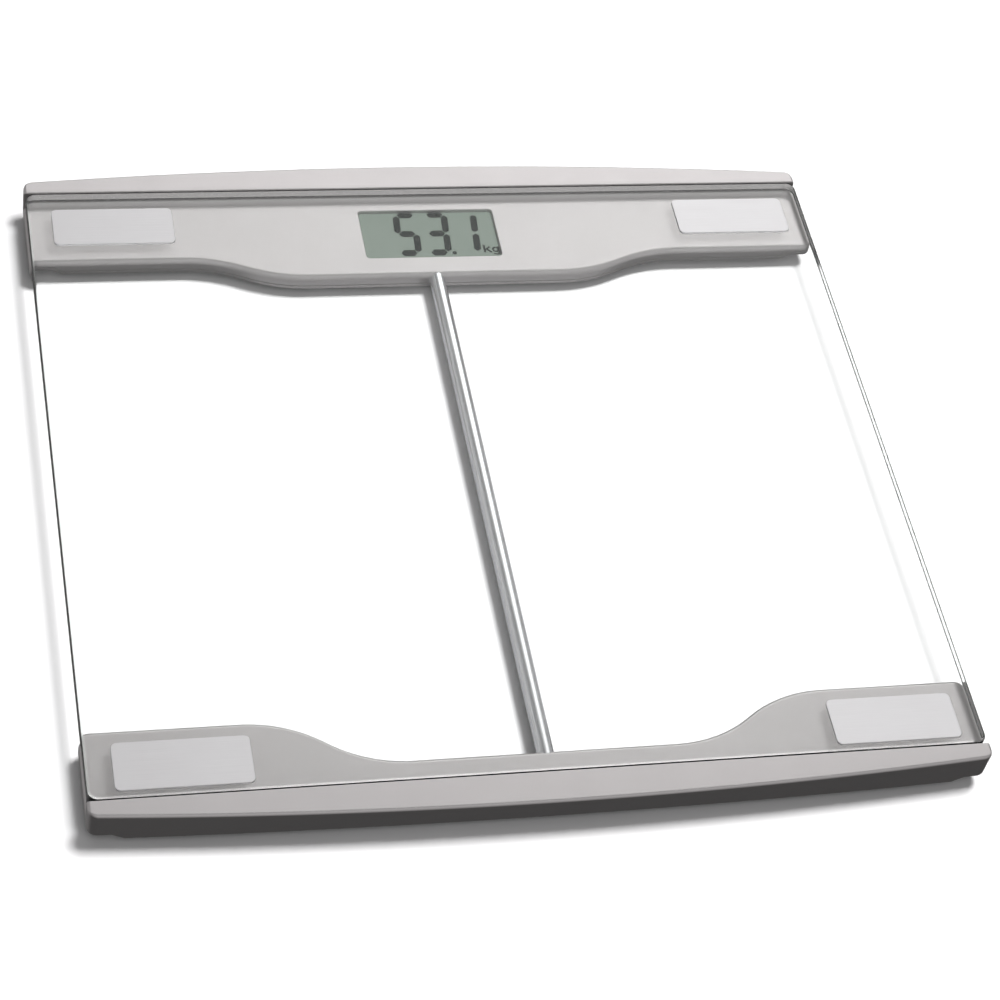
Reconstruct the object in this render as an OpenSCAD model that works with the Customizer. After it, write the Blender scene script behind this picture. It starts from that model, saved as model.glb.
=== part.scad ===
// Electronic bathroom scale: a tempered glass platform over two slim housings
// joined by a tube, with a liquid crystal display under the rear of the glass.
//
// Frame: +Z up, +Y towards the display side, +X to the user's right.
// The origin is on the floor, under the middle of the platform.

/* [Platform] */
// Width of the glass, left to right
glass_w = 330; // [324:1:340]
// Depth of the glass, front to back
glass_d = 296; // [290:1:310]
// Thickness of the glass
glass_t = 8; // [6:0.5:10]
// Radius of the glass corners in plan
glass_corner_r = 4; // [2:0.5:6]
// Width of the polished arris on every glass edge
glass_arris = 0.9; // [0.5:0.1:1.2]
// Height of the glass underside above the floor
glass_z = 12; // [12:0.1:12.5]

/* [Contact plates] */
// Width of each steel plate
plate_w = 48.8; // [40:0.2:52]
// Depth of each steel plate
plate_d = 20; // [16:0.2:22]
// Thickness of each steel plate
plate_t = 0.8; // [0.5:0.1:1.2]
// Corner radius of each steel plate
plate_r = 2.2; // [1:0.1:4]

/* [Housings] */
// Height of the housings' underside above the floor
base_z = 5; // [5:0.1:5.2]
// Depth of the end bars beyond the glass at the middle
bar_depth = 13.4; // [12:0.1:15]
// Radius of the bars' outline along the top edge
bar_arc_r = 2120; // [1900:10:2600]
// Radius of the bars' outline along the bottom edge
foot_arc_r = 4000; // [3800:50:5000]
// How far the bars' outer walls lean in at the bottom, at the middle
wall_tuck = 3.3; // [2.5:0.1:3.6]
// Wall thickness of the housings
wall_t = 1.6; // [1.4:0.1:1.8]
// Radius of the housings' soft top edges
soft_r = 2; // [1.5:0.1:2.2]

/* [Display] */
// Width of the display window
window_w = 57.4; // [50:0.2:60]
// Depth of the display window
window_d = 27.4; // [24:0.2:30]
// Sideways offset of the display window
window_x = 0.4; // [-1:0.1:1]

/* [Tube] */
// Outer diameter of the centre tube
tube_d = 6.4; // [6:0.1:6.4]
// Wall of the centre tube
tube_wall = 0.6; // [0.5:0.1:0.7]

/* [Feet] */
// Diameter of each foot
foot_d = 24; // [20:0.5:24]
// Room above each foot for its load cell to bend
foot_room = 0.4; // [0.2:0.05:0.6]
// Thickness of each rubber pad
pad_t = 1.8; // [1.4:0.1:2.2]

/* [Battery] */
// Diameter of the coin cell
cell_d = 20; // [20:0.1:20]
// Thickness of the coin cell
cell_t = 3.2; // [2.5:0.1:3.2]

/* [Hidden] */

$fn = 64;
eps = 0.01;

// Heights
glass_top = glass_z + glass_t;
bond_t = 0.4;
deck_z = glass_z - bond_t;
deck_t = 1.6;
ceiling_z = deck_z - deck_t;
base_t = 1.2;
floor_z = base_z + base_t;

// Housing outline
side_lip = 0.5;
half_w = glass_w / 2 + side_lip;
bar_in = glass_d / 2 + 0.35;
bar_mid = glass_d / 2 + bar_depth;
foot_mid = bar_mid - wall_tuck;
corner_r = 3.5;
end_r = 1.2;
bar_edge_r = 1.2;
bar_lip_r = 0.5;
skirt_r = 1;
relief_h = 2.3;
relief_x0 = half_w - 13;
relief_x1 = half_w - 8.5;

// Inner wall of each housing: where it runs at the middle and at the ends, and where the
// S-curve between the two begins and ends, measured from the middle
rear_line = [glass_d / 2 - 46.5, glass_d / 2 - 35.3, 53, 105];
front_line = [glass_d / 2 - 11.9, glass_d / 2 - 31.9, 49, 109];

// Cavity ends and end pockets
cavity_x = half_w - 15;
pocket_x0 = half_w - 11.6;
pocket_x1 = half_w - wall_t;
pocket_count = 3;
rib_t = 1.2;

// Plates
plate_x = glass_w / 2 - 33.8;
plate_y_rear = glass_d / 2 - 20.3;
plate_y_front = glass_d / 2 - 12.4;

// Feet and load cells
foot_x = half_w - 38.5;
foot_y_rear = glass_d / 2 - 18.5;
foot_y_front = glass_d / 2 - 15;
foot_hole_d = foot_d + 3;
cell_size = [30, 28];
cell_plate_t = 1.6;
seat_h = 0.6;
seat_w = 4;
cell_z = ceiling_z - seat_h - cell_plate_t;
retainer_t = 1.4;
retainer_head_d = 4;
retainer_head_h = 0.8;
retainer_z = cell_z - retainer_t;
ear_x = 19.5;
ear_d = 5;
tongue_hole_d = 4.2;
post_d = 9;
stem_head_d = 5.6;
stem_head_h = 0.4;
gauge_t = 0.5;

// Tube
tube_z = deck_z - tube_d / 2;
tube_seat = 1.4;
plug_d = 4.8;
plug_bore = 3.8;
socket_len = 3.6;
socket_half = 5.2;

// Display and boards
window_y = glass_d / 2 - 22.4;
lcd_size = [64, 31];
lcd_t = 1.5;
lcd_z = ceiling_z - 0.1 - lcd_t;
board_t = 0.8;
board_z = lcd_z - 1 - board_t;
board_x = 44;
board_y0 = glass_d / 2 - 36;
board_y1 = glass_d / 2 - 2.5;

// Battery bay
bay_x = -66;
bay_y = glass_d / 2 - 17;
cover_r = 12.6;
lug_r = 14;
bay_gap = 0.8;
bay_wall = 1.2;
bay_rise = 1;
cover_turn = 45;

// Unit button
button_x = 66;
button_y = glass_d / 2 - 20;
button_r = 3;

// Screws
screw_d = 2;
screw_bore = 2.1;
screw_head_d = 4.4;
screw_head_h = 0.7;
boss_d = 5.6;
bore_up = 0.8;
rear_screws = [for (s = [-1, 1]) each [
  [s * 146, glass_d / 2 + 0.2], [s * 99, glass_d / 2 - 29],
  [s * 99, glass_d / 2 - 1.5], [s * 49, glass_d / 2 - 40]]];
front_screws = [for (s = [-1, 1]) each [
  [s * 146, glass_d / 2 + 2.4], [s * 99, glass_d / 2 - 25],
  [s * 99, glass_d / 2 + 2.4], [s * 40, glass_d / 2 + 3.6]]];
board_screw_at = [for (s = [-1, 1]) [s * 40.5, glass_d / 2 - 6.5]];

steel = "silver";
silver_paint = "#b9b9bb";
dark_plastic = "#3c3c3e";

// ---- Outlines ------------------------------------------------------------------------

// Drop of an arc of radius r at distance x from its middle
function sag(x, r) = r - sqrt(r * r - x * x);

// Setback of a rounded plan corner, for a distance x from the middle
function corner_set(x, r = corner_r, w = half_w) = x <= w - r ? 0 : sag(min(x - (w - r), r), r);

// S-curve from line[0] to line[1] made of two equal arcs between line[2] and line[3]
function s_radius(line) =
  let (run = line[3] - line[2], turn = 2 * atan(abs(line[1] - line[0]) / run)) run / (2 * sin(turn));
function wall_y(x, line) =
  let (ax = abs(x), s = sign(line[1] - line[0]), r = s_radius(line), mid = (line[2] + line[3]) / 2)
  ax <= line[2] ? line[0]
  : ax >= line[3] ? line[1]
  : ax <= mid ? line[0] + s * sag(ax - line[2], r)
  : line[1] - s * sag(line[3] - ax, r);

function bar_top_y(x) = bar_mid - sag(abs(x), bar_arc_r);
function bar_foot_y(x) = foot_mid - sag(abs(x), foot_arc_r);
function skirt_z(x) =
  base_z + relief_h * min(1, max(0, (abs(x) - relief_x0) / (relief_x1 - relief_x0)));

// Stations along the width: close together where the outline bends
function one_side(line) = concat(
  [14, 32], [for (i = [0:14]) line[2] + (line[3] - line[2]) * i / 14],
  [118, 130, 141, relief_x0, relief_x1],
  [for (a = [0:15:90]) half_w - corner_r * (1 - sin(a))]);
function stations(line) = let (s = one_side(line), n = len(s))
  concat([for (i = [n - 1:-1:0]) -s[i]], [0], s);

// Section of a housing across its width at station x, from the inner wall's foot, over the
// deck and the bar, to the outer wall's foot. Point deck_corner is where the bar rises.
deck_corner = 7;
function section(x, line) =
  let (ax = abs(x), set = corner_set(ax), drop = corner_set(ax, end_r),
       yw = wall_y(x, line) + set, yo = bar_top_y(x) - set, yf = bar_foot_y(x) - set,
       zd = deck_z - drop, zt = glass_top - drop, zb = skirt_z(x), r = soft_r, b = bar_edge_r)
  concat(
    [[x, yw, zb]],
    [for (a = [0:18:90]) [x, yw + r * (1 - cos(a)), zd - r * (1 - sin(a))]],
    [[x, bar_in, zd]],
    [for (a = [0:45:90]) [x, bar_in + bar_lip_r * (1 - cos(a)), zt - bar_lip_r * (1 - sin(a))]],
    [for (a = [90:-22.5:0]) [x, yo - b * (1 - cos(a)), zt - b * (1 - sin(a))]],
    [for (a = [0:-30:-90]) [x, yf - skirt_r * (1 - cos(a)), zb + skirt_r * (1 + sin(a))]]);

// Closed skin through one section per station
module housing_skin(line) {
  xs = stations(line);
  rows = [for (x = xs) section(x, line)];
  m = len(rows[0]);
  n = len(rows);
  points = [for (row = rows) each row];
  sides = [for (i = [0:n - 2], k = [0:m - 1])
    let (a = i * m + k, b = i * m + (k + 1) % m, c = a + m, d = b + m) each [[a, b, d], [a, d, c]]];
  // Each end is a fan about the corner where the bar rises from the deck
  ring = [for (k = [1:m - 2]) [(deck_corner + k) % m, (deck_corner + k + 1) % m]];
  first = [for (e = ring) [deck_corner, e[1], e[0]]];
  last = [for (e = ring) [deck_corner, e[0], e[1]] + (n - 1) * m * [1, 1, 1]];
  polyhedron(points = points, faces = concat(sides, first, last), convexity = 6);
}

// Plan of the space inside a housing, grown or shrunk by inset
module cavity_plan(line, x_end, inset) {
  xs = [for (x = [-x_end:x_end / 30:x_end + eps]) x];
  polygon(concat(
    [for (x = xs) [x, wall_y(x, line) + inset]],
    [for (i = [len(xs) - 1:-1:0]) [xs[i], bar_foot_y(xs[i]) - inset]]));
}

module at_screws(places, z = 0) {
  for (p = places) translate([p[0], p[1], z]) children();
}

module rounded_plate(w, d, t, r) {
  linear_extrude(t) union() {
    square([w - 2 * r, d], center = true);
    square([w, d - 2 * r], center = true);
    for (x = [-1, 1], y = [-1, 1]) translate([x * (w / 2 - r), y * (d / 2 - r)]) circle(r, $fn = 32);
  }
}

// Places children at one corner; front is modelled on the +Y side and mirrored over
module at_corner(side, end) {
  mirror([side < 0 ? 1 : 0, 0, 0]) mirror([0, end < 0 ? 1 : 0, 0])
    translate([foot_x, end < 0 ? foot_y_front : foot_y_rear, 0]) children();
}

// ---- Platform ------------------------------------------------------------------------

module glass_platform() {
  a = glass_arris;
  color("#cfe6df", 0.5) hull() {
    translate([0, 0, glass_z]) rounded_plate(glass_w - 2 * a, glass_d - 2 * a, glass_t, glass_corner_r - a);
    translate([0, 0, glass_z + a]) rounded_plate(glass_w, glass_d, glass_t - 2 * a, glass_corner_r);
  }
}

module contact_plate(side, end) {
  y = end < 0 ? -plate_y_front : plate_y_rear;
  color(steel) translate([side * plate_x, y, glass_top]) rounded_plate(plate_w, plate_d, plate_t, plate_r);
}

// Clear silicone between housing and glass, set back under the plates
module bond_pad(side, end) {
  y = end < 0 ? -plate_y_front + 4 : plate_y_rear + 3;
  color("#e8f0ee", 0.4) translate([side * plate_x, y, deck_z]) rounded_plate(42, 11, bond_t, 3);
}

// ---- Housings ------------------------------------------------------------------------

// Everything taken out of a housing from below
module housing_hollow(line) {
  translate([0, 0, base_z - 1]) linear_extrude(ceiling_z - base_z + 1)
    cavity_plan(line, cavity_x, wall_t);
  bar_hollow(cavity_x, bar_in + 1.5);
  for (s = [-1, 1]) mirror([s < 0 ? 1 : 0, 0, 0]) end_pockets(line[1] + wall_t + 2, bar_foot_y(half_w) - wall_t - 1.5);
}

// Pockets that core out the end of a housing, with ribs between them
module end_pockets(y0, y1) {
  pitch = (y1 - y0 + rib_t) / pocket_count;
  for (i = [0:pocket_count - 1]) translate([pocket_x0, y0 + i * pitch, base_z - 1])
    cube([pocket_x1 - pocket_x0, pitch - rib_t, ceiling_z - base_z + 1]);
}

// Hollow that reaches up into the bar beyond the glass
module bar_hollow(x_end, y_in) {
  xs = [for (x = [-x_end:x_end / 12:x_end + eps]) x];
  translate([0, 0, base_z - 1]) linear_extrude(glass_top - 1.8 - base_z + 1) polygon(concat(
    [[-x_end, y_in], [x_end, y_in]],
    [for (i = [len(xs) - 1:-1:0]) [xs[i], bar_foot_y(xs[i]) - wall_t]]));
}

// Seats, posts and socket that stand on the ceiling of a housing
module housing_posts(line, foot_y, screws) {
  at_screws(screws, floor_z) cylinder(d = boss_d, h = ceiling_z - floor_z + eps);
  for (s = [-1, 1]) translate([s * foot_x, foot_y, 0]) {
    for (e = [-1, 1]) translate([e * ear_x, 0, cell_z]) cylinder(d = ear_d, h = ceiling_z - cell_z + eps);
    for (x = [-1, 1], y = [-1, 1])
      translate([x * (cell_size[0] / 2 - 2.5), y * (cell_size[1] / 2 - 2.5), ceiling_z - seat_h])
        translate([-seat_w / 2, -seat_w / 2, 0]) cube([seat_w, seat_w, seat_h + eps]);
  }
  translate([-socket_half, line[0] + 1, base_z]) cube([2 * socket_half, socket_len - 1, ceiling_z - base_z + eps]);
}

// Bores and pockets that go through the posts and the ceiling
module housing_bores(line, foot_y, screws) {
  at_screws(screws, floor_z - eps) cylinder(d = screw_bore, h = ceiling_z + bore_up - floor_z);
  for (s = [-1, 1]) translate([s * foot_x, foot_y, 0]) {
    for (e = [-1, 1]) translate([e * ear_x, 0, cell_z - eps])
      cylinder(d = screw_bore, h = ceiling_z + bore_up - cell_z);
    translate([0, 0, ceiling_z - eps]) cylinder(d = stem_head_d + 2.4, h = bore_up);
  }
  translate([0, line[0] - 1, tube_z]) rotate([-90, 0, 0]) cylinder(d = plug_d + 0.1, h = socket_len + 2);
  translate([0, line[0] - 1, tube_z]) rotate([-90, 0, 0]) cylinder(d = tube_d + 0.06, h = tube_seat + 1);
}

module rear_housing() {
  color(silver_paint) difference() {
    union() {
      difference() {
        housing_skin(rear_line);
        housing_hollow(rear_line);
      }
      housing_posts(rear_line, foot_y_rear, rear_screws);
      at_screws(board_screw_at, board_z + board_t) cylinder(d = 4.6, h = ceiling_z - board_z - board_t + eps);
      translate([bay_x, bay_y, floor_z + bay_rise]) difference() {
        cylinder(r = lug_r + bay_gap + bay_wall, h = ceiling_z - floor_z - bay_rise + eps);
        translate([0, 0, -eps]) cylinder(r = lug_r + bay_gap, h = ceiling_z - floor_z);
        translate([12, -3, -eps]) cube([6, 6, ceiling_z - floor_z - bay_rise]);
      }
    }
    housing_bores(rear_line, foot_y_rear, rear_screws);
    at_screws(board_screw_at, board_z + board_t - eps)
      cylinder(d = screw_bore, h = ceiling_z + bore_up - board_z - board_t);
    translate([window_x, window_y, ceiling_z - 1]) rounded_plate(window_w, window_d, deck_t + 2, 1.6);
  }
}

module front_housing() {
  color(silver_paint) mirror([0, 1, 0]) difference() {
    union() {
      difference() {
        housing_skin(front_line);
        housing_hollow(front_line);
      }
      housing_posts(front_line, foot_y_front, front_screws);
    }
    housing_bores(front_line, foot_y_front, front_screws);
  }
}

// Cover plate that closes a housing from below
module base_plate(line, foot_y, screws) {
  difference() {
    translate([0, 0, base_z]) linear_extrude(base_t) cavity_plan(line, cavity_x - 0.15, wall_t + 0.15);
    for (s = [-1, 1]) translate([s * foot_x, foot_y, base_z - 1]) cylinder(d = foot_hole_d, h = base_t + 2);
    translate([-socket_half - 0.2, line[0], base_z - 1]) cube([2 * socket_half + 0.4, socket_len + 0.3, base_t + 2]);
    at_screws(screws, base_z - 1) cylinder(d = screw_d + 0.6, h = base_t + 2);
    at_screws(screws, base_z - 1) cylinder(d = screw_head_d + 0.4, h = screw_head_h + 1);
  }
}

module rear_base() {
  color(dark_plastic) difference() {
    base_plate(rear_line, foot_y_rear, rear_screws);
    translate([bay_x, bay_y, base_z - 1]) cylinder(r = cover_r + 0.2, h = base_t + 2);
    for (a = [0, 180]) translate([bay_x, bay_y, base_z - 1]) rotate(a + cover_turn)
      translate([0, -3, 0]) cube([lug_r + 0.3, 6, base_t + 2]);
    translate([button_x, button_y, base_z - 1]) cylinder(r = button_r + 0.15, h = base_t + 2);
  }
}

module front_base() {
  color(dark_plastic) mirror([0, 1, 0]) base_plate(front_line, foot_y_front, front_screws);
}

// ---- Tube ----------------------------------------------------------------------------

tube_y0 = -(front_line[0] + tube_seat);
tube_y1 = rear_line[0] + tube_seat;

module centre_tube() {
  color("#d6d8da") translate([0, tube_y0, tube_z]) rotate([-90, 0, 0]) difference() {
    cylinder(d = tube_d, h = tube_y1 - tube_y0);
    translate([0, 0, -1]) cylinder(d = tube_d - 2 * tube_wall, h = tube_y1 - tube_y0 + 2);
  }
}

// Plug in the end of the tube, with a spigot that goes through the housing's socket
module tube_plug() {
  rotate([-90, 0, 0]) difference() {
    union() {
      translate([0, 0, -8]) cylinder(d = tube_d - 2 * tube_wall - 0.04, h = 8);
      translate([0, 0, -eps]) cylinder(d = plug_d, h = socket_len - tube_seat + 0.2);
    }
    translate([0, 0, -9]) cylinder(d = plug_bore, h = 20);
  }
}

module tube_plug_rear() {
  color(dark_plastic) translate([0, tube_y1, tube_z]) tube_plug();
}

module tube_plug_front() {
  color(dark_plastic) translate([0, tube_y0, tube_z]) mirror([0, 1, 0]) tube_plug();
}

// ---- Display and boards --------------------------------------------------------------

module lcd_panel() {
  color("#9dab9f") translate([window_x, window_y, lcd_z])
    translate([-lcd_size[0] / 2, -lcd_size[1] / 2, 0]) cube([lcd_size[0], lcd_size[1], lcd_t]);
}

// Frame that holds the display up against the window
module lcd_frame() {
  outer = [lcd_size[0] + 2.4, lcd_size[1] + 2.4];
  color(dark_plastic) translate([window_x, window_y, board_z + board_t]) difference() {
    translate([-outer[0] / 2, -outer[1] / 2, 0]) cube([outer[0], outer[1], ceiling_z - board_z - board_t]);
    translate([-lcd_size[0] / 2 - 0.05, -lcd_size[1] / 2 - 0.05, lcd_z - board_z - board_t])
      cube([lcd_size[0] + 0.1, lcd_size[1] + 0.1, 9]);
    translate([-lcd_size[0] / 2 + 1.5, -lcd_size[1] / 2 + 1.5, -1]) cube([lcd_size[0] - 3, lcd_size[1] - 3, 9]);
  }
}

// Rubber connector between the display's edge and the board
module zebra_strip() {
  color("#d98a86") translate([window_x - 29, window_y + lcd_size[1] / 2 - 4.5, board_z + board_t])
    cube([58, 2.6, lcd_z - board_z - board_t]);
}

module main_board() {
  color("#2f6b45") difference() {
    translate([-board_x, board_y0, board_z]) cube([2 * board_x, board_y1 - board_y0, board_t]);
    at_screws(board_screw_at, board_z - 1) cylinder(d = screw_d + 0.2, h = board_t + 2);
  }
}

module controller_chip() {
  color("#161616") translate([10, window_y, board_z + board_t]) {
    cylinder(d = 9, h = 0.5);
    cylinder(d = 6.5, h = 0.8);
  }
}

// Crystal, capacitors and resistors soldered to the top of the board
module board_parts() {
  color("#b98a4a") {
    translate([-14, window_y + 6, board_z + board_t]) cube([6, 2.4, 0.9]);
    for (i = [0:4]) translate([-24 + i * 5, window_y - 4, board_z + board_t]) cube([2, 1.25, 0.6]);
    for (i = [0:3]) translate([-22 + i * 5, window_y - 9, board_z + board_t]) cube([1.6, 0.8, 0.5]);
    for (i = [0:2]) translate([22, window_y - 6 + i * 4, board_z + board_t]) cube([3, 1.5, 0.8]);
  }
}

// Small board that carries the switch of the unit button
button_board_z = ceiling_z - 0.1 - board_t;

module button_board() {
  color("#2f6b45") translate([button_x - 7, button_y - 7, button_board_z]) cube([14, 14, board_t + 0.1]);
}

module tact_switch() {
  color("#222222") translate([button_x, button_y, button_board_z]) {
    translate([-3, -3, -1.3]) cube([6, 6, 1.3]);
    translate([0, 0, -1.75]) cylinder(d = 3, h = 0.5);
  }
}

module unit_button() {
  color("#8f9094") translate([button_x, button_y, base_z - 0.4]) {
    cylinder(r = button_r, h = base_t + 0.6);
    translate([0, 0, base_t + 0.5]) cylinder(r = button_r + 1.2, h = 0.5);
  }
}

// ---- Battery -------------------------------------------------------------------------

coin_z = floor_z + 0.3;

module coin_cell() {
  color(steel) translate([bay_x, bay_y, coin_z]) {
    cylinder(d = cell_d, h = cell_t - 0.3);
    cylinder(d = cell_d - 2, h = cell_t);
  }
}

// Bent strip that touches the cell's side
module battery_contact_plus() {
  color("#c9b26a") translate([bay_x, bay_y, coin_z + 0.6]) intersection() {
    difference() {
      cylinder(r = cell_d / 2 + 0.35, h = ceiling_z - coin_z - 0.6);
      translate([0, 0, -1]) cylinder(r = cell_d / 2 + 0.02, h = 9);
    }
    translate([5, -6, 0]) cube([12, 12, 9]);
  }
}

// Flat spring between the cell and the ceiling
module battery_contact_minus() {
  color("#c9b26a") translate([bay_x, bay_y, coin_z + cell_t]) {
    translate([-8, -2.5, 0]) cube([16, 5, ceiling_z - coin_z - cell_t]);
  }
}

// Bayonet cover turned with a coin: disc, rim, two lugs above the base plate and a slot
module battery_cover() {
  color(dark_plastic) translate([bay_x, bay_y, 0]) difference() {
    union() {
      translate([0, 0, base_z]) cylinder(r = cover_r, h = base_t);
      translate([0, 0, base_z]) cylinder(r = cover_r - 0.3, h = base_t + 0.9);
      for (a = [0, 180]) intersection() {
        rotate(a) translate([0, -2.6, floor_z + 0.15]) cube([20, 5.2, 0.75]);
        translate([0, 0, floor_z]) cylinder(r = lug_r, h = 2);
      }
    }
    translate([0, 0, floor_z]) cylinder(r = cell_d / 2 + 0.9, h = 4);
    translate([-7, -0.9, base_z - 1]) cube([14, 1.8, 1.7]);
  }
}

// ---- Load cells and feet -------------------------------------------------------------

// Sprung steel plate: a frame with a tongue that the foot pushes on
module load_cell(side, end) {
  w = cell_size[0];
  d = cell_size[1];
  color("#9a9ca0") at_corner(side, end) translate([0, 0, cell_z]) difference() {
    translate([-w / 2, -d / 2, 0]) cube([w, d, cell_plate_t]);
    for (y = [-1, 1]) translate([-10, y * 7.5 - 0.75, -1]) cube([20, 1.5, 4]);
    translate([8.5, -7.5, -1]) cube([1.5, 15, 4]);
    translate([0, 0, -1]) cylinder(d = tongue_hole_d, h = 4);
  }
}

// Sealed strain gauge on the root of the tongue
module strain_gauge(side, end) {
  color("#f2f2ee") at_corner(side, end) translate([-9.6, -3, cell_z - gauge_t]) cube([4.6, 6, gauge_t]);
}

// Plastic frame that clamps the load cell's rim up to its seats
module cell_retainer(side, end) {
  w = cell_size[0] + 2;
  d = cell_size[1] + 2;
  color("#e4e4e0") at_corner(side, end) translate([0, 0, retainer_z]) difference() {
    union() {
      translate([-w / 2, -d / 2, 0]) cube([w, d, retainer_t]);
      for (e = [-1, 1]) translate([e * ear_x, 0, 0]) cylinder(d = ear_d + 1, h = retainer_t);
      translate([-ear_x, -3, 0]) cube([2 * ear_x, 6, retainer_t]);
    }
    translate([-11.5, -10.5, -1]) cube([23, 21, 4]);
    for (e = [-1, 1]) translate([e * ear_x, 0, -1]) {
      cylinder(d = screw_d + 0.4, h = 4);
      cylinder(d = retainer_head_d + 0.2, h = retainer_head_h + 1);
    }
  }
}

// Foot: a disc with a post under the load cell's tongue and a headed stem through it
disc_top = floor_z - foot_room;
stem_z = cell_z + cell_plate_t;

module foot_cap(side, end) {
  color(dark_plastic) at_corner(side, end) {
    translate([0, 0, pad_t]) cylinder(d = foot_d, h = disc_top - pad_t);
    translate([0, 0, disc_top - eps]) cylinder(d = post_d, h = cell_z - disc_top + eps);
    translate([0, 0, cell_z - eps]) cylinder(d = tongue_hole_d - 0.8, h = cell_plate_t + 2 * eps);
    translate([0, 0, stem_z]) cylinder(d = stem_head_d, h = stem_head_h);
  }
}

module foot_pad(side, end) {
  color("#1d1d1f") at_corner(side, end) difference() {
    cylinder(d = foot_d - 2, h = pad_t);
    translate([0, 0, -1]) difference() {
      cylinder(d = foot_d - 7, h = 1.5);
      translate([0, 0, -1]) cylinder(d = foot_d - 10, h = 4);
    }
  }
}

// ---- Wires ---------------------------------------------------------------------------

wire_d = 0.9;

// Route with its inner corners rounded
function rounded(path, r, k = 3) = concat([path[0]], [for (i = [1:len(path) - 2])
  let (p = path[i], u = path[i - 1] - p, v = path[i + 1] - p,
       a = p + u * min(0.45, r / norm(u)), b = p + v * min(0.45, r / norm(v)))
  for (j = [0:k]) let (t = j / k) a * (1 - t) * (1 - t) + 2 * p * t * (1 - t) + b * t * t],
  [path[len(path) - 1]]);

// Round tube swept along a route that never runs upright
module wire(path, d = wire_d, sides = 6) {
  n = len(path);
  rings = [for (i = [0:n - 1])
    let (ahead = path[min(i + 1, n - 1)] - path[max(i - 1, 0)], dir = ahead / norm(ahead),
         side = cross(dir, [0, 0, 1]) / norm(cross(dir, [0, 0, 1])), up = cross(side, dir))
    for (k = [0:sides - 1]) path[i] + d / 2 * (side * cos(360 * k / sides) + up * sin(360 * k / sides))];
  skin = [for (i = [0:n - 2], k = [0:sides - 1])
    let (a = i * sides + k, b = i * sides + (k + 1) % sides) each [[a, b, b + sides], [a, b + sides, a + sides]]];
  polyhedron(points = rings, faces = concat(skin,
    [[for (k = [sides - 1:-1:0]) k]], [[for (k = [0:sides - 1]) (n - 1) * sides + k]]), convexity = 4);
}

// Three wires one above another along one plan route
module wire_trio(route, bend_r) {
  for (k = [-1:1]) wire(rounded([for (p = route) [p[0], p[1], tube_z + 0.98 * k]], bend_r));
}

module wires_front() {
  y_run = -(glass_d / 2 - 1.6);
  y_cell = -foot_y_front;
  y_turn = rear_line[0] + socket_len + 2;
  color("#c33b32") for (s = [-1, 1]) wire_trio([
    [s * (foot_x - 16.1), y_cell + 8], [s * 92, y_cell + 2], [s * 82, y_run], [s * 7, y_run],
    [s * 0.8, y_run + 4.5], [s * 0.8, 0], [s * 0.8, y_turn], [s * 37, y_turn], [s * 42, board_y0 - 0.6]], 1.6);
}

module wires_rear(s) {
  color("#e6e6e6") wire_trio([
    [s * (foot_x - 16.1), foot_y_rear - 6], [s * 96, foot_y_rear - 6], [s * 84, board_y0 + 1],
    [s * 54, board_y0 - 0.5], [s * 44.8, board_y0 + 5]], 4);
}

module wires_rear_left() {
  wires_rear(-1);
}

module wires_rear_right() {
  wires_rear(1);
}

// Leads from the board to the battery contacts and to the button board
module wires_board() {
  color("#2a2a2a") for (k = [0, 1]) {
    wire([[-44.6, bay_y - 0.8 + 1.6 * k, tube_z], [-50.4, bay_y - 0.8 + 1.6 * k, tube_z],
      [-55.6, bay_y - 0.8 + 1.6 * k, tube_z]]);
    wire([[44.6, button_y - 0.8 + 1.6 * k, tube_z], [52, button_y - 0.8 + 1.6 * k, tube_z],
      [58.8, button_y - 0.8 + 1.6 * k, button_board_z + 0.45]]);
  }
}

// ---- Screws --------------------------------------------------------------------------

module screw(length, head_d = screw_head_d, head_h = screw_head_h) {
  difference() {
    union() {
      cylinder(d = head_d, h = head_h);
      translate([0, 0, head_h - eps]) cylinder(d = screw_d, h = length);
    }
    translate([-head_d * 0.35, -0.3, -1]) cube([head_d * 0.7, 0.6, 1.3]);
    translate([-0.3, -head_d * 0.35, -1]) cube([0.6, head_d * 0.7, 1.3]);
  }
}

module rear_base_screws() {
  color(steel) at_screws(rear_screws, base_z) screw(4.8);
}

module front_base_screws() {
  color(steel) mirror([0, 1, 0]) at_screws(front_screws, base_z) screw(4.8);
}

module retainer_screws() {
  color(steel) for (s = [-1, 1], e = [-1, 1]) at_corner(s, e)
    for (x = [-ear_x, ear_x]) translate([x, 0, retainer_z]) screw(3.2, retainer_head_d, retainer_head_h);
}

module board_screws() {
  color(steel) at_screws(board_screw_at, board_z - 0.35) screw(3, 3.6, 0.35);
}

// ---- Drawing -------------------------------------------------------------------------

glass_platform();
contact_plate(-1, 1);  // contact_plate_rear_left
contact_plate(1, 1);  // contact_plate_rear_right
contact_plate(-1, -1);  // contact_plate_front_left
contact_plate(1, -1);  // contact_plate_front_right
bond_pad(-1, 1);  // bond_pad_rear_left
bond_pad(1, 1);  // bond_pad_rear_right
bond_pad(-1, -1);  // bond_pad_front_left
bond_pad(1, -1);  // bond_pad_front_right
rear_housing();
rear_base();
front_housing();
front_base();
centre_tube();
tube_plug_rear();
tube_plug_front();
lcd_frame();
lcd_panel();
zebra_strip();
main_board();
controller_chip();
board_parts();
button_board();
tact_switch();
unit_button();
coin_cell();
battery_contact_plus();
battery_contact_minus();
battery_cover();
load_cell(-1, 1);  // load_cell_rear_left
load_cell(1, 1);  // load_cell_rear_right
load_cell(-1, -1);  // load_cell_front_left
load_cell(1, -1);  // load_cell_front_right
strain_gauge(-1, 1);  // strain_gauge_rear_left
strain_gauge(1, 1);  // strain_gauge_rear_right
strain_gauge(-1, -1);  // strain_gauge_front_left
strain_gauge(1, -1);  // strain_gauge_front_right
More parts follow.
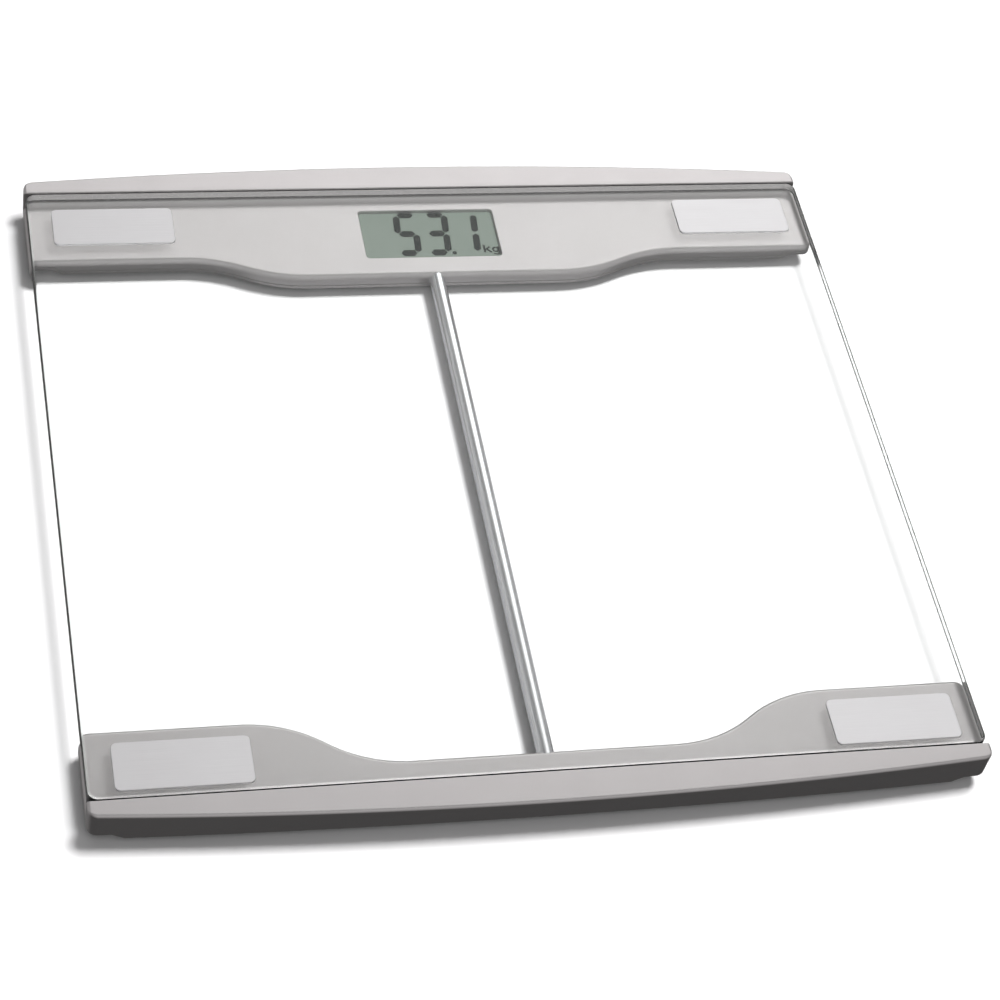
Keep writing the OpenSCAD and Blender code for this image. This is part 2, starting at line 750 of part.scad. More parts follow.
cell_retainer(-1, 1);  // cell_retainer_rear_left
cell_retainer(1, 1);  // cell_retainer_rear_right
cell_retainer(-1, -1);  // cell_retainer_front_left
cell_retainer(1, -1);  // cell_retainer_front_right
foot_cap(-1, 1);  // foot_cap_rear_left
foot_cap(1, 1);  // foot_cap_rear_right
foot_cap(-1, -1);  // foot_cap_front_left
foot_cap(1, -1);  // foot_cap_front_right
foot_pad(-1, 1);  // foot_pad_rear_left
foot_pad(1, 1);  // foot_pad_rear_right
foot_pad(-1, -1);  // foot_pad_front_left
foot_pad(1, -1);  // foot_pad_front_right
wires_front();
wires_rear_left();
wires_rear_right();
wires_board();
rear_base_screws();
front_base_screws();
retainer_screws();
board_screws();
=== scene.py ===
"""Glass bathroom scale: the visual model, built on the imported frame.

Lengths are millimetres in the functions that make pieces, and metres for the stage.
"""

import math

import bmesh
import bpy
from mathutils import Matrix, Vector


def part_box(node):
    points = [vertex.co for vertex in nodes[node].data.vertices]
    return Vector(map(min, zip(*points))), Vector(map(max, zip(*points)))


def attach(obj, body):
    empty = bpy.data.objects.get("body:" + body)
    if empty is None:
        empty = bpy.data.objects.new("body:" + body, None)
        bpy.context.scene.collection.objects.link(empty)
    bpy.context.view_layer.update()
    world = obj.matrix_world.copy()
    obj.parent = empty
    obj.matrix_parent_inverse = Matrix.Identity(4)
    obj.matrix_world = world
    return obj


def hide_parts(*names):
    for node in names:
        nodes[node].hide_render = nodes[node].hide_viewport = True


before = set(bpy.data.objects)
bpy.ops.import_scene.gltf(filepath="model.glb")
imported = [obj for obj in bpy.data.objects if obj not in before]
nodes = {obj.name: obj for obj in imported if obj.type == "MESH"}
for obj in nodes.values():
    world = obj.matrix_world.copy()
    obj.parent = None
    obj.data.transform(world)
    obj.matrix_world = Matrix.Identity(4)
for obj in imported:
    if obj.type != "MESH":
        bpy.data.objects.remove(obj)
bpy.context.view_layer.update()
MM = 0.001


def node_box(name):
    """Lowest and highest corner of a CAD node, in millimetres."""
    low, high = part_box(name)
    return [v / MM for v in low], [v / MM for v in high]


def plan(low, high):
    """Plan of a box: x and y of its middle, width, depth."""
    return (low[0] + high[0]) / 2, (low[1] + high[1]) / 2, high[0] - low[0], high[1] - low[1]


# ---- Sizes, read from the frame where it holds them ------------------------------------

GLASS_LOW, GLASS_HIGH = node_box("glass_platform")
GLASS_Z, GLASS_TOP = GLASS_LOW[2], GLASS_HIGH[2]
GLASS_W = GLASS_HIGH[0] - GLASS_LOW[0]
GLASS_D = GLASS_HIGH[1] - GLASS_LOW[1]
GLASS_ARRIS, GLASS_FOOT_R, GLASS_CORNER = 1.1, 0.5, 4

REAR_LOW, REAR_HIGH = node_box("rear_housing")
BASE_HIGH = node_box("rear_base")[1]
HALF_W = REAR_HIGH[0]
BASE_Z, FLOOR_Z = REAR_LOW[2], BASE_HIGH[2]
WALL, BOND_GAP, BAR_GAP, WALL_TUCK = 1.6, 0.4, 0.35, 3.3
DECK_Z = GLASS_Z - BOND_GAP
CEILING_Z = DECK_Z - WALL
BAR_MID = REAR_HIGH[1]
BAR_IN = GLASS_D / 2 + BAR_GAP
FOOT_MID = BAR_MID - WALL_TUCK
# Inner walls: y at the middle, y at the ends, x where the curve between them starts and where it stops.
REAR_LINE = (REAR_LOW[1], REAR_LOW[1] + 11.2, 53, 105)
FRONT_LINE = (GLASS_D / 2 - 11.9, GLASS_D / 2 - 31.9, 49, 109)
BAR_TOP_R, BAR_FOOT_R = 2120, 4000
SOFT_R, BAR_EDGE_R, BAR_LIP_R, SKIRT_R, RIM_R, FILLET_R = 2, 1.2, 0.5, 1, 0.3, 0.25
CORNER_R, END_R = 3.5, 1.2
# The housings' foot rises towards the ends: x where it starts, x where it is done, and how far.
RELIEF = (HALF_W - 13, HALF_W - 8.5, 2.3)
# Groove along the inner walls: height above the foot, width, depth.
GROOVE = (1.5, 0.4, 0.3)
SOLID_END = 15
POCKETS, POCKET_W, POCKET_END, POCKET_R, RIB = 3, 10, 11.6, 0.5, 1.2
BAR_WALL, BAR_ROOF, POCKET_GAP = 1.5, 1.8, 2
SEAT_ROOM, SEAT_DEPTH = 1.01, 1.4
# How far a cutter runs past the face that it opens.
PAST = 1

TUBE_LOW, TUBE_HIGH = node_box("centre_tube")
TUBE_R = (TUBE_HIGH[0] - TUBE_LOW[0]) / 2
TUBE_Z = (TUBE_HIGH[2] + TUBE_LOW[2]) / 2
LCD_LOW, LCD_HIGH = node_box("lcd_panel")
WINDOW, WINDOW_R = (0.4, GLASS_D / 2 - 22.4, 57.4, 27.4), 1.6
CORNERS = ("rear_left", "rear_right", "front_left", "front_right")


# ---- Meshes ----------------------------------------------------------------------------

def finish_mesh(name, bm, material, body="body", stands_for=(), sharp=32, weighted=False):
    """Turns a bmesh in millimetres into a shaded object that rides on a body."""
    bmesh.ops.scale(bm, vec=(MM, MM, MM), verts=bm.verts)
    bmesh.ops.recalc_face_normals(bm, faces=bm.faces)
    mesh = bpy.data.meshes.new(name)
    bm.to_mesh(mesh)
    bm.free()
    obj = bpy.data.objects.new(name, mesh)
    bpy.context.scene.collection.objects.link(obj)
    shade(obj, sharp, weighted)
    mesh.materials.append(material)
    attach(obj, body)
    if stands_for:
        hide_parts(*stands_for)
    return obj


def shade(obj, sharp=32, weighted=False):
    """Smooth shading with sharp edges above an angle; weighted keeps wide flat faces flat."""
    obj.data.shade_smooth()
    obj.data.set_sharp_from_angle(angle=math.radians(sharp))
    if weighted:
        modifier = obj.modifiers.new("weighted", "WEIGHTED_NORMAL")
        modifier.keep_sharp = True
        modifier.weight = 100


def loft(bm, rings, closed_rows=False):
    """Skin through rings of equally many points, capped, or with the last ring joined to the first."""
    rows = [[bm.verts.new(p) for p in ring] for ring in rings]
    count = len(rows[0])
    following = rows[1:] + rows[:1] if closed_rows else rows[1:]
    for a, b in zip(rows, following):
        for k in range(count):
            bm.faces.new((a[k], a[(k + 1) % count], b[(k + 1) % count], b[k]))
    if not closed_rows:
        bm.faces.new(rows[0][::-1])
        bm.faces.new(rows[-1])


def prism(bm, outline, z0, z1):
    """Upright prism on a plan outline."""
    loft(bm, [[(x, y, z) for x, y in outline] for z in (z0, z1)])


def circle(cx, cy, r, steps):
    """Points round a circle."""
    turns = [2 * math.pi * k / steps for k in range(steps)]
    return [(cx + r * math.cos(a), cy + r * math.sin(a)) for a in turns]


def rounded_rect(cx, cy, w, d, r, steps=10):
    """Plan outline of a rectangle with round corners, counterclockwise."""
    points = []
    for sx, sy, start in ((1, 1, 0), (-1, 1, 90), (-1, -1, 180), (1, -1, 270)):
        x, y = cx + sx * (w / 2 - r), cy + sy * (d / 2 - r)
        for k in range(steps + 1):
            a = math.radians(start + 90 * k / steps)
            points.append((x + r * math.cos(a), y + r * math.sin(a)))
    return points


def slab(bm, cx, cy, w, d, r, levels, steps=10):
    """Rounded slab through levels of (z, inset)."""
    rings = []
    for z, inset in levels:
        outline = rounded_rect(cx, cy, w - 2 * inset, d - 2 * inset, max(r - inset, 0.05), steps)
        rings.append([(x, y, z) for x, y in outline])
    loft(bm, rings)


def spun(bm, profile, cx, cy, steps=72):
    """Solid of revolution about an upright axis through (cx, cy), from (radius, z) points in order."""
    loft(bm, [[(x, y, z) for x, y in circle(cx, cy, r, steps)] for r, z in profile])


def soft_rim(r, z, radius, way, steps=4):
    """Profile points that round the rim of a disc of radius r ending at z, from its side to its face."""
    turns = [math.radians(90 * k / steps) for k in range(steps + 1)]
    return [(r - radius * (1 - math.cos(a)), z - way * radius * (1 - math.sin(a))) for a in turns]


def cut(obj, build):
    """Takes a solid, built by build(bm) in millimetres, out of an object."""
    bm = bmesh.new()
    build(bm)
    bmesh.ops.scale(bm, vec=(MM, MM, MM), verts=bm.verts)
    bmesh.ops.recalc_face_normals(bm, faces=bm.faces)
    mesh = bpy.data.meshes.new("cutter")
    bm.to_mesh(mesh)
    bm.free()
    cutter = bpy.data.objects.new("cutter", mesh)
    bpy.context.scene.collection.objects.link(cutter)
    modifier = obj.modifiers.new("cut", "BOOLEAN")
    modifier.operation = "DIFFERENCE"
    modifier.solver = "EXACT"
    modifier.object = cutter
    bpy.context.view_layer.update()
    result = bpy.data.meshes.new_from_object(obj.evaluated_get(bpy.context.evaluated_depsgraph_get()))
    obj.modifiers.clear()
    old = obj.data
    obj.data = result
    result.name = obj.name
    bpy.data.meshes.remove(old)
    bpy.data.objects.remove(cutter)
    bpy.data.meshes.remove(mesh)


# ---- Materials -------------------------------------------------------------------------

MIX_A, MIX_B, MIX_RESULT = 6, 7, 2  # the colour sockets of a Mix node


class Look:
    """A Principled material whose colour, roughness and surface come from noise at real scales."""

    def __init__(self, name, metallic=0.0, **sockets):
        self.material = bpy.data.materials.new(name)
        self.material.use_nodes = True
        self.tree = self.material.node_tree
        self.shader = self.tree.nodes["Principled BSDF"]
        self.shader.inputs["Metallic"].default_value = metallic
        for key, value in sockets.items():
            self.shader.inputs[key.replace("_", " ")].default_value = value
        self.coords = self.tree.nodes.new("ShaderNodeTexCoord")

    def noise(self, size, detail=3.0, stretch=(1, 1, 1), rough=0.55):
        """Noise whose blotches measure about size millimetres, drawn out by stretch."""
        mapping = self.tree.nodes.new("ShaderNodeMapping")
        mapping.inputs["Scale"].default_value = [1 / s for s in stretch]
        self.tree.links.new(self.coords.outputs["Object"], mapping.inputs["Vector"])
        node = self.tree.nodes.new("ShaderNodeTexNoise")
        node.inputs["Scale"].default_value = 1 / (size * MM)
        node.inputs["Detail"].default_value = detail
        node.inputs["Roughness"].default_value = rough
        self.tree.links.new(mapping.outputs["Vector"], node.inputs["Vector"])
        return node.outputs["Fac"]

    def ramp(self, source, stops):
        """Colours along a source, from stops of (position, colour)."""
        node = self.tree.nodes.new("ShaderNodeValToRGB")
        elements = node.color_ramp.elements
        for _ in range(len(stops) - 2):
            elements.new(0.5)
        for element, (at, colour) in zip(elements, stops):
            element.position = at
            element.color = (*colour, 1.0)
        self.tree.links.new(source, node.inputs["Fac"])
        return node.outputs["Color"]

    def mix(self, factor, a, b, blend="MIX"):
        """Blend of a and b, each a socket or a plain colour."""
        node = self.tree.nodes.new("ShaderNodeMix")
        node.data_type = "RGBA"
        node.blend_type = blend
        if isinstance(factor, float):
            node.inputs["Factor"].default_value = factor
        else:
            self.tree.links.new(factor, node.inputs["Factor"])
        for value, socket in ((a, node.inputs[MIX_A]), (b, node.inputs[MIX_B])):
            if isinstance(value, tuple):
                socket.default_value = (*value, 1.0)
            else:
                self.tree.links.new(value, socket)
        return node.outputs[MIX_RESULT]

    def colour(self, source):
        self.tree.links.new(source, self.shader.inputs["Base Color"])

    def roughness(self, source, low, high):
        """Roughness from low to high over the middle of a noise's range."""
        node = self.tree.nodes.new("ShaderNodeMapRange")
        node.inputs["From Min"].default_value = 0.3
        node.inputs["From Max"].default_value = 0.7
        node.inputs["To Min"].default_value = low
        node.inputs["To Max"].default_value = high
        self.tree.links.new(source, node.inputs["Value"])
        self.tree.links.new(node.outputs["Result"], self.shader.inputs["Roughness"])

    def two_tone(self, share, first, second, dark, light):
        """Colour from dark to light over two noises, the second weighing share."""
        stops = [(0.3, dark), (0.7, light)]
        self.colour(self.mix(share, self.ramp(first, stops), self.ramp(second, stops)))

    def bump(self, source, height):
        """Relief of that height, in millimetres."""
        node = self.tree.nodes.new("ShaderNodeBump")
        node.inputs["Distance"].default_value = height * MM
        self.tree.links.new(source, node.inputs["Height"])
        self.tree.links.new(node.outputs["Normal"], self.shader.inputs["Normal"])


def tones(colour, spread):
    """Two tones either side of a colour."""
    return tuple(c * (1 - spread) for c in colour), tuple(min(1.0, c * (1 + spread)) for c in colour)


def moulded(name, colour, rough=0.5, grain=0.35, relief=0.02, spread=0.08, **sockets):
    """Moulded plastic with a fine spark-eroded grain."""
    look = Look(name, **sockets)
    fine = look.noise(grain, 4)
    broad = look.noise(9, 2)
    look.two_tone(0.35, broad, fine, *tones(colour, spread))
    look.roughness(fine, rough - 0.06, rough + 0.06)
    look.bump(fine, relief)
    return look.material


def metal(name, colour, rough=0.3, grain=0.12, stretch=(1, 1, 1), relief=0.004, spread=0.06):
    """Metal with a drawn or brushed grain along the stretched direction."""
    look = Look(name, metallic=1.0)
    streak = look.noise(grain, 5, stretch, 0.65)
    broad = look.noise(14, 2)
    look.two_tone(0.4, streak, broad, *tones(colour, spread))
    look.roughness(streak, rough - 0.07, rough + 0.07)
    look.bump(streak, relief)
    return look.material


def silver_paint():
    """Satin silver paint with fine metal flakes and a little orange peel."""
    look = Look("silver_paint", metallic=0.78)
    flake = look.noise(0.16, 2)
    grain = look.noise(0.9, 3)
    cloud = look.noise(22, 2)
    base = look.ramp(cloud, [(0.3, (0.47, 0.455, 0.455)), (0.7, (0.505, 0.49, 0.49))])
    sparkle = look.ramp(flake, [(0.35, (0.445, 0.43, 0.43)), (0.65, (0.53, 0.515, 0.515))])
    look.colour(look.mix(0.5, base, sparkle))
    look.roughness(grain, 0.34, 0.42)
    look.bump(grain, 0.002)
    return look.material


def platform_glass():
    """Clear polished glass, faintly green, with a rounded arris round the top and a trace of handling. Along
    the left and right sides the arris is rough, and its colour is painted light where it faces left and
    painted shade, nearly black, where it faces right.

    Lamps shine through its faces but only partly through its sides, so that its edges throw a shadow.
    """
    look = Look("platform_glass", IOR=1.52, Transmission_Weight=1.0, Specular_Tint=(0.12, 0.12, 0.12, 1))
    tree = look.tree
    haze = look.noise(30, 3)
    grind = look.noise(0.5, 3)
    facing = tree.nodes.new("ShaderNodeSeparateXYZ")
    tree.links.new(look.coords.outputs["Normal"], facing.inputs["Vector"])
    upward = facing.outputs["Z"]
    sideways = tree.nodes.new("ShaderNodeMath")
    sideways.operation = "ABSOLUTE"
    tree.links.new(facing.outputs["X"], sideways.inputs[0])
    both = tree.nodes.new("ShaderNodeMath")
    both.operation = "MULTIPLY"
    tree.links.new(upward, both.inputs[0])
    tree.links.new(sideways.outputs["Value"], both.inputs[1])
    arris = look.ramp(both.outputs["Value"], [(0.15, (0, 0, 0)), (0.4, (1, 1, 1))])
    # Painted light and shade on the left and right arris: pale grey-green where it faces left, nearly black
    # where it faces right, set by how the light falls on each side.
    rightward = tree.nodes.new("ShaderNodeMapRange")
    rightward.inputs["From Min"].default_value = -0.7
    rightward.inputs["From Max"].default_value = 0.7
    tree.links.new(facing.outputs["X"], rightward.inputs["Value"])
    painted_side_shade = look.ramp(rightward.outputs["Result"], [(0.2, (0.8, 0.86, 0.83)), (0.8, (0.02, 0.03, 0.025))])
    clear = look.ramp(haze, [(0.3, (0.98, 0.992, 0.986)), (0.7, (0.988, 0.996, 0.992))])
    grains = look.ramp(grind, [(0.3, (0.7, 0.7, 0.7)), (0.7, (1, 1, 1))])
    # Arris colour: the painted light and shade, times the grain of the grinding.
    painted_shade_and_grind = look.mix(0.5, painted_side_shade, grains, "MULTIPLY")
    look.colour(look.mix(arris, clear, painted_shade_and_grind))
    polish = look.ramp(haze, [(0.3, (0.3, 0.3, 0.3)), (0.7, (0.31, 0.31, 0.31))])
    look.roughness(look.mix(arris, polish, (0.62, 0.62, 0.62)), 0.0, 0.25)

    tilt = tree.nodes.new("ShaderNodeMath")
    tilt.operation = "ABSOLUTE"
    tree.links.new(upward, tilt.inputs[0])
    clear_to_lamps = tree.nodes.new("ShaderNodeBsdfTransparent")
    through = look.ramp(tilt.outputs["Value"], [(0.5, (0.2, 0.21, 0.205)), (0.95, (1, 1, 1))])
    tree.links.new(through, clear_to_lamps.inputs["Color"])
    path = tree.nodes.new("ShaderNodeLightPath")
    either = tree.nodes.new("ShaderNodeMixShader")
    tree.links.new(path.outputs["Is Shadow Ray"], either.inputs["Fac"])
    tree.links.new(look.shader.outputs["BSDF"], either.inputs[1])
    tree.links.new(clear_to_lamps.outputs["BSDF"], either.inputs[2])
    tree.links.new(either.outputs["Shader"], tree.nodes["Material Output"].inputs["Surface"])
    return look.material


def brushed_steel():
    """Brushed steel whose lines run along x and spread reflections across them."""
    look = Look("plate_steel", metallic=1.0, Anisotropic=0.85)
    lines = look.noise(0.16, 4, (160, 1, 1), 0.65)
    broad = look.noise(14, 2)
    look.colour(look.mix(0.35, look.ramp(lines, [(0.3, (0.74, 0.745, 0.755)), (0.7, (0.86, 0.86, 0.87))]),
                         look.ramp(broad, [(0.3, (0.79, 0.78, 0.79)), (0.7, (0.83, 0.83, 0.84))])))
    look.roughness(lines, 0.38, 0.48)
    look.bump(lines, 0.0008)
    tangent = look.tree.nodes.new("ShaderNodeTangent")
    tangent.direction_type = "RADIAL"
    tangent.axis = "X"
    look.tree.links.new(tangent.outputs["Tangent"], look.shader.inputs["Tangent"])
    return look.material


def display_glass():
    """Grey-green reflective display with a satin polariser."""
    look = Look("display_glass", Specular_IOR_Level=0.12)
    cloud = look.noise(18, 2)
    fine = look.noise(0.12, 2)
    look.colour(look.mix(0.2, look.ramp(cloud, [(0.3, (0.155, 0.19, 0.162)), (0.7, (0.165, 0.2, 0.172))]),
                         look.ramp(fine, [(0.3, (0.152, 0.187, 0.16)), (0.7, (0.168, 0.203, 0.175))])))
    look.roughness(fine, 0.5, 0.6)
    return look.material


def circuit_board():
    """Green solder mask over the copper's weave."""
    look = Look("circuit_board", Coat_Weight=0.3)
    weave = look.noise(0.5, 2, (1, 4, 1))
    tracks = look.noise(3, 0, (4, 1, 1))
    look.colour(look.mix(0.5, look.ramp(tracks, [(0.48, (0.03, 0.13, 0.06)), (0.52, (0.06, 0.22, 0.11))]),
                         look.ramp(weave, [(0.3, (0.04, 0.15, 0.08)), (0.7, (0.06, 0.19, 0.10))])))
    look.roughness(weave, 0.35, 0.5)
    look.bump(tracks, 0.03)
    return look.material


def striped_rubber():
    """Connector strip: thin conductive layers across a soft pink strip."""
    look = Look("striped_rubber")
    layers = look.noise(0.25, 0, (1, 60, 60))
    look.colour(look.ramp(layers, [(0.45, (0.62, 0.28, 0.26)), (0.55, (0.10, 0.08, 0.08))]))
    look.roughness(layers, 0.55, 0.75)
    return look.material


PAINT = silver_paint()
GLASS = platform_glass()
PLATE = brushed_steel()
TUBE = metal("tube_aluminium", (0.80, 0.81, 0.83), 0.24, 0.10, (1, 260, 1), 0.003, 0.05)
SILICONE = moulded("clear_silicone", (0.78, 0.81, 0.80), 0.35, 0.8, 0.01, 0.04,
                   Transmission_Weight=0.5, IOR=1.41)
BASE = moulded("base_plastic", (0.035, 0.035, 0.038), 0.55, 0.5, 0.03, 0.15)
COVER = moulded("cover_plastic", (0.045, 0.045, 0.048), 0.5, 0.4, 0.02, 0.15)
PLUG = moulded("plug_plastic", (0.02, 0.02, 0.022), 0.45, 0.3, 0.01, 0.15)
FRAME = moulded("frame_plastic", (0.012, 0.012, 0.013), 0.5, 0.3, 0.01, 0.15)
FOOT = moulded("foot_plastic", (0.05, 0.05, 0.053), 0.5, 0.35, 0.02, 0.12)
RUBBER = moulded("foot_rubber", (0.012, 0.012, 0.012), 0.75, 0.25, 0.03, 0.2)
BUTTON = moulded("button_plastic", (0.25, 0.25, 0.26), 0.4, 0.3, 0.01, 0.06)
RETAINER = moulded("retainer_plastic", (0.70, 0.70, 0.67), 0.45, 0.4, 0.01, 0.04)
SEALANT = moulded("gauge_sealant", (0.78, 0.78, 0.76), 0.3, 1.2, 0.08, 0.04)
SWITCH = moulded("switch_plastic", (0.01, 0.01, 0.011), 0.4, 0.3, 0.01, 0.15)
EPOXY = moulded("chip_epoxy", (0.006, 0.006, 0.006), 0.15, 2.5, 0.05, 0.2)
CERAMIC = moulded("component_ceramic", (0.36, 0.25, 0.11), 0.35, 0.3, 0.01, 0.2)
RED = moulded("wire_red", (0.45, 0.03, 0.02), 0.4, 0.6, 0.01, 0.08)
WHITE = moulded("wire_white", (0.72, 0.72, 0.70), 0.4, 0.6, 0.01, 0.05)
BLACK = moulded("wire_black", (0.012, 0.012, 0.012), 0.4, 0.6, 0.01, 0.2)
BOARD = circuit_board()
STRIPED = striped_rubber()
DISPLAY = display_glass()
DIGIT = moulded("display_segment", (0.004, 0.008, 0.006), 0.6, 0.3, 0.001, 0.06,
                Specular_IOR_Level=0.02)
CELL_PLATE = brushed_steel()
SCREW = metal("screw_steel", (0.62, 0.62, 0.63), 0.25, 0.2, (1, 1, 1), 0.006, 0.08)
COIN = metal("coin_steel", (0.66, 0.65, 0.63), 0.25, 0.15, (8, 1, 1), 0.003, 0.06)
BRASS = metal("contact_brass", (0.68, 0.50, 0.22), 0.28, 0.15, (1, 8, 1), 0.004, 0.1)


# ---- Housings --------------------------------------------------------------------------

def sag(x, r):
    """Drop of an arc of radius r at distance x from its middle."""
    return r - math.sqrt(r * r - x * x)


def corner_set(x, r=CORNER_R):
    """Setback of a rounded corner at distance x from the middle."""
    return 0.0 if x <= HALF_W - r else sag(min(x - (HALF_W - r), r), r)


def wall_y(x, line):
    """Inner wall: an S-curve of two equal arcs from line[0] at the middle to line[1] at the ends."""
    y0, y1, x0, x1 = line
    x, way = abs(x), math.copysign(1, line[1] - line[0])
    turn = 2 * math.atan(abs(y1 - y0) / (x1 - x0))
    r = (x1 - x0) / (2 * math.sin(turn))
    if x <= x0:
        return y0
    if x >= x1:
        return y1
    return y0 + way * sag(x - x0, r) if x <= (x0 + x1) / 2 else y1 - way * sag(x1 - x, r)


def bar_top_y(x):
    return BAR_MID - sag(abs(x), BAR_TOP_R)


def bar_foot_y(x):
    return FOOT_MID - sag(abs(x), BAR_FOOT_R)


def skirt_z(x):
    x0, x1, rise = RELIEF
    return BASE_Z + rise * min(1, max(0, (abs(x) - x0) / (x1 - x0)))


def arc(cy, cz, r, start, end, steps):
    """Points on an arc in the y-z plane, angles in degrees from +y towards +z."""
    angles = [math.radians(start + (end - start) * k / steps) for k in range(steps + 1)]
    return [(cy + r * math.cos(a), cz + r * math.sin(a)) for a in angles]


def housing_section(x, line):
    """Outline across the housing's width at x, from the inner wall's foot over the deck and bar."""
    set_in, drop = corner_set(abs(x)), corner_set(abs(x), END_R)
    inner, top_out, foot_out = wall_y(x, line) + set_in, bar_top_y(x) - set_in, bar_foot_y(x) - set_in
    deck, top, foot = DECK_Z - drop, GLASS_TOP - drop, skirt_z(x)
    groove_z, width, depth = foot + GROOVE[0], GROOVE[1], GROOVE[2]
    groove = [(inner, groove_z), (inner + depth, groove_z + depth / 3),
              (inner + depth, groove_z + width - depth / 3), (inner, groove_z + width)]
    return (
        arc(inner + RIM_R, foot + RIM_R, RIM_R, 270, 180, 3)
        + groove
        + arc(inner + SOFT_R, deck - SOFT_R, SOFT_R, 180, 90, 10)
        + arc(BAR_IN - FILLET_R, deck + FILLET_R, FILLET_R, 270, 360, 3)
        + arc(BAR_IN + BAR_LIP_R, top - BAR_LIP_R, BAR_LIP_R, 180, 90, 5)
        + arc(top_out - BAR_EDGE_R, top - BAR_EDGE_R, BAR_EDGE_R, 90, 0, 8)
        + arc(foot_out - SKIRT_R, foot + SKIRT_R, SKIRT_R, 0, -90, 6)
    )


def housing_stations(line):
    """Where the sections stand: every few millimetres, and closer round the ends."""
    spacing = 2.5
    inner = [k * spacing for k in range(1, int((HALF_W - SOLID_END + 1) / spacing))]
    inner += list(RELIEF[:2]) + [line[2], line[3]]
    ends = [HALF_W - CORNER_R * (1 - math.sin(math.radians(a))) for a in range(0, 91, 9)]
    ends += [HALF_W - END_R * (1 - math.sin(math.radians(a))) for a in range(0, 90, 15)]
    side = sorted(set(round(x, 4) for x in inner + ends))
    return [-x for x in reversed(side)] + [0.0] + side


def cavity(line, x_end, inset, steps=60):
    """Plan of the space inside a housing."""
    xs = [-x_end + 2 * x_end * k / steps for k in range(steps + 1)]
    return [(x, wall_y(x, line) + inset) for x in xs] + [(x, bar_foot_y(x) - inset) for x in reversed(xs)]


def open_inside(obj, line):
    """Hollows a housing out: the room under the deck, the room in the bar and the pockets in the ends."""
    x_end = HALF_W - SOLID_END
    cut(obj, lambda b: prism(b, cavity(line, x_end, WALL), BASE_Z - PAST, CEILING_Z))
    bar = [(x, BAR_IN + BAR_WALL) for x in (-x_end, x_end)]
    bar += [(x, bar_foot_y(x) - WALL) for x in [x_end - x_end * k / 10 for k in range(21)]]
    cut(obj, lambda b: prism(b, bar, BASE_Z - PAST * 1.1, GLASS_TOP - BAR_ROOF))
    y0, y1 = line[1] + WALL + POCKET_GAP, bar_foot_y(HALF_W) - WALL - BAR_WALL
    pitch = (y1 - y0 + RIB) / POCKETS
    for side in (-1, 1):
        for k in range(POCKETS):
            x_mid, y_mid = side * (HALF_W - (POCKET_END + WALL) / 2), y0 + (k + 0.5) * pitch - RIB / 2
            pocket = rounded_rect(x_mid, y_mid, POCKET_W, pitch - RIB, POCKET_R, 3)
            cut(obj, lambda b: prism(b, pocket, BASE_Z - PAST, CEILING_Z))


def housing(name, line, end, node, window):
    """Silver housing, hollow from below; end is 1 for the rear one and -1 for its mirrored front partner.

    The window, which only the rear one has, widens by a small bevel at the deck.
    """
    bm = bmesh.new()
    loft(bm, [[(x, y, z) for y, z in housing_section(x, line)] for x in housing_stations(line)])
    obj = finish_mesh(name, bm, PAINT, stands_for=(node,), sharp=180)
    open_inside(obj, line)
    seat = circle(0, TUBE_Z, TUBE_R * SEAT_ROOM, 64)
    seat_ends = (line[0] - PAST, line[0] + SEAT_DEPTH)
    cut(obj, lambda b: loft(b, [[(x, y, z) for x, z in seat] for y in seat_ends]))
    if window:
        levels = [(CEILING_Z - PAST, 0), (DECK_Z - 0.25, 0), (DECK_Z + 0.75, -1)]
        cut(obj, lambda b: slab(b, *WINDOW, WINDOW_R, levels))
    if end < 0:
        obj.data.transform(Matrix.Diagonal((1, -1, 1, 1)))
        obj.data.flip_normals()
    shade(obj, 35, weighted=True)


housing("rear_housing_shell", REAR_LINE, 1, "rear_housing", True)
housing("front_housing_shell", FRONT_LINE, -1, "front_housing", False)


# ---- Platform --------------------------------------------------------------------------

PLATE_CORNER, PLATE_SOFT = 2.2, 0.22


def pencil(z, r, way, steps=5):
    """Levels of a rounded edge of radius r that ends at height z, going up or down."""
    turns = [math.radians(90 * k / steps) for k in range(steps + 1)]
    return [(z + way * r * (1 - math.sin(a)), r * (1 - math.cos(a))) for a in turns]


def platform():
    bm = bmesh.new()
    levels = pencil(GLASS_Z, GLASS_FOOT_R, 1, 3)[::-1] + pencil(GLASS_TOP, GLASS_ARRIS, -1)
    slab(bm, 0, 0, GLASS_W, GLASS_D, GLASS_CORNER, levels, 16)
    glass = finish_mesh("glass_slab", bm, GLASS, stands_for=("glass_platform",),
                        sharp=40, weighted=True)
    glass.visible_diffuse = False


def contact_plate(corner):
    """Steel plate on the glass, kept out of reflections so that it doesn't darken the deck below."""
    low, high = node_box("contact_plate_" + corner)
    bm = bmesh.new()
    slab(bm, *plan(low, high), PLATE_CORNER, [(low[2], 0)] + pencil(high[2], PLATE_SOFT, -1, 3))
    plate = finish_mesh("plate_" + corner, bm, PLATE, stands_for=("contact_plate_" + corner,),
                        sharp=35, weighted=True)
    plate.visible_glossy = False
    plate.visible_transmission = False


platform()
for corner in CORNERS:
    contact_plate(corner)


# ---- Tube ------------------------------------------------------------------------------

def tube():
    """Tube with bevelled ends, its section swept round the axis."""
    wall, bevel = 0.6, 0.15
    y0, y1 = TUBE_LOW[1], TUBE_HIGH[1]
    section = ((TUBE_R - wall, y0), (TUBE_R - bevel, y0), (TUBE_R, y0 + bevel),
               (TUBE_R, y1 - bevel), (TUBE_R - bevel, y1), (TUBE_R - wall, y1))
    bm = bmesh.new()
    rings = [[(r * x, y, TUBE_Z + r * z) for r, y in section] for x, z in circle(0, 0, 1, 96)]
    loft(bm, rings, closed_rows=True)
    finish_mesh("tube", bm, TUBE, stands_for=("centre_tube",), sharp=30)


tube()


# ---- Display ---------------------------------------------------------------------------

